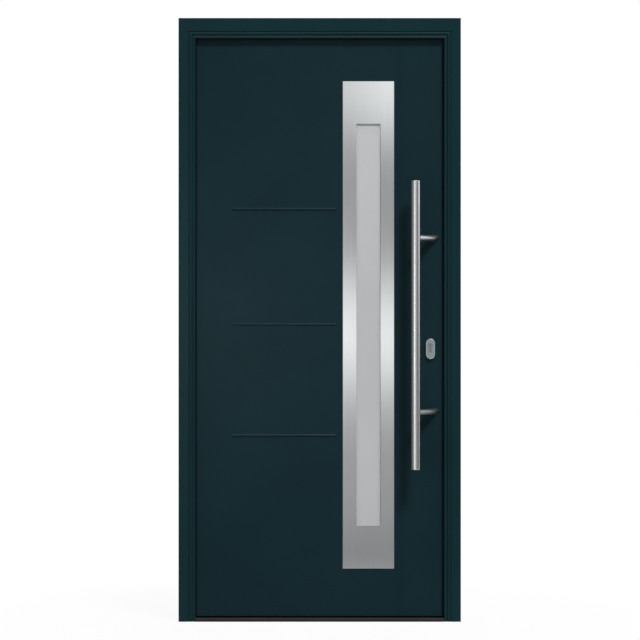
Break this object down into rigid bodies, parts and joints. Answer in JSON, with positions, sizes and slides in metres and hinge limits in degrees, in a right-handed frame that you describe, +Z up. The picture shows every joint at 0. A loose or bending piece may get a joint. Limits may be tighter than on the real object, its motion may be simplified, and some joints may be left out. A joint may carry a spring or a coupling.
{
  "type": "front door with frame",
  "caption": "Flush metal front door in its frame, with a tall frosted light in a satin steel surround, a long bar pull, three fine ridges, a multi-point lock and an inside lever.",
  "frame": {"origin": "middle of the threshold's underside, halfway through the frame's depth", "axes": "+X to the right seen from outside, +Y into the house, +Z up"},
  "size_m": [0.982, 0.2135, 2.1],
  "materials": {
    "door_paint": "satin powder coat",
    "threshold_metal": "dark anodised",
    "seal_rubber": "matt",
    "break_plastic": "matt",
    "satin_steel": "vertical satin grain",
    "zinc_plate": "zinc plated",
    "cast_alloy": "mill finish",
    "foam": "cut foam",
    "timber": "sawn",
    "frosted_glass": "satin etched",
    "clear_glass": "clear",
    "spacer_metal": "matt",
    "plug_brass": "nickel plated"
  },
  "bodies": {
    "frame": {"hinge_jamb": "door_paint", "lock_jamb": "door_paint", "head": "door_paint", "threshold": "threshold_metal", "threshold_break": "break_plastic", "threshold_inner": "threshold_metal", "corner_cleats": "cast_alloy", "frame_seals": "seal_rubber", "main_strike": "satin_steel", "swing_bolt_strikes": "satin_steel", "strike_screws": "zinc_plate", "hinge_frame_wings": "satin_steel", "hinge_pins": "satin_steel", "hinge_frame_screws": "zinc_plate"},
    "lever": {"lever_handle": "satin_steel", "spindle": "zinc_plate", "follower": "zinc_plate"},
    "latch": {"latch_bolt": "satin_steel"},
    "key": {"key_plugs": "plug_brass", "lock_cam": "zinc_plate"},
    "dead_bolt": {"dead_bolt": "satin_steel"},
    "upper_rod": {"upper_rod": "zinc_plate"},
    "lower_rod": {"lower_rod": "zinc_plate"},
    "upper_swing_bolt": {"upper_swing_bolt": "satin_steel"},
    "lower_swing_bolt": {"lower_swing_bolt": "satin_steel"},
    "leaf": {"outer_skin": "door_paint", "inner_skin": "door_paint", "inner_surround": "door_paint", "bottom_seal": "seal_rubber", "glazing_tapes": "seal_rubber", "glazing_frame": "break_plastic", "hinge_leaf_wings": "satin_steel", "glazing_surround": "satin_steel", "pull_bar": "satin_steel", "bar_end_caps": "satin_steel", "upper_post": "satin_steel", "lower_post": "satin_steel", "bolt_caps": "satin_steel", "outer_escutcheon": "satin_steel", "inner_escutcheon": "satin_steel", "faceplate": "satin_steel", "lever_rosette": "satin_steel", "cylinder_body": "satin_steel", "hinge_leaf_screws": "zinc_plate", "post_bolts": "zinc_plate", "escutcheon_screws": "zinc_plate", "cylinder_screw": "zinc_plate", "faceplate_screws": "zinc_plate", "lock_case": "zinc_plate", "upper_bolt_case": "zinc_plate", "lower_bolt_case": "zinc_plate", "core": "foam", "hinge_stile": "timber", "lock_stile": "timber", "top_rail": "timber", "bottom_rail": "timber", "outer_pane": "frosted_glass", "middle_pane": "clear_glass", "inner_pane": "clear_glass", "glass_spacers": "spacer_metal"}
  },
  "joints": [
    {"name": "leaf_swing", "type": "hinge", "parent": "frame", "child": "leaf", "pos_m": [-0.4535, 0.052, 0], "axis": [0, 0, 1], "range_deg": [0, 100]},
    {"name": "lever_turn", "type": "hinge", "parent": "leaf", "child": "lever", "pos_m": [0.386, 0.01, 1.053], "axis": [0, -1, 0], "range_deg": [0, 35], "stiffness_Nm_per_rad": 2, "springref_deg": -25.78},
    {"name": "latch_slide", "type": "slide", "parent": "leaf", "child": "latch", "axis": [-1, 0, 0], "range_m": [0, 0.012]},
    {"name": "key_turn", "type": "hinge", "parent": "leaf", "child": "key", "pos_m": [0.386, 0.01, 0.961], "axis": [0, -1, 0], "range_deg": [0, 360]},
    {"name": "dead_bolt_slide", "type": "slide", "parent": "leaf", "child": "dead_bolt", "axis": [1, 0, 0], "range_m": [0, 0.02]},
    {"name": "upper_rod_slide", "type": "slide", "parent": "leaf", "child": "upper_rod", "axis": [0, 0, 1], "range_m": [0, 0.02]},
    {"name": "lower_rod_slide", "type": "slide", "parent": "leaf", "child": "lower_rod", "axis": [0, 0, 1], "range_m": [0, 0.02]},
    {"name": "upper_bolt_swing", "type": "hinge", "parent": "leaf", "child": "upper_swing_bolt", "pos_m": [0.4335, 0.01, 1.76], "axis": [0, -1, 0], "range_deg": [0, 90]},
    {"name": "lower_bolt_swing", "type": "hinge", "parent": "leaf", "child": "lower_swing_bolt", "pos_m": [0.4335, 0.01, 0.3], "axis": [0, -1, 0], "range_deg": [0, 90]}
  ],
  "couplings": [
    {"joint": "latch_slide", "follows": "lever_turn", "m_per_rad": 0.0196},
    {"joint": "key_turn", "follows": "dead_bolt_slide", "rad_per_m": 314},
    {"joint": "upper_rod_slide", "follows": "dead_bolt_slide", "ratio": 0.999},
    {"joint": "lower_rod_slide", "follows": "dead_bolt_slide", "ratio": 0.999},
    {"joint": "upper_bolt_swing", "follows": "dead_bolt_slide", "rad_per_m": 78.5},
    {"joint": "lower_bolt_swing", "follows": "dead_bolt_slide", "rad_per_m": 78.5}
  ]
}
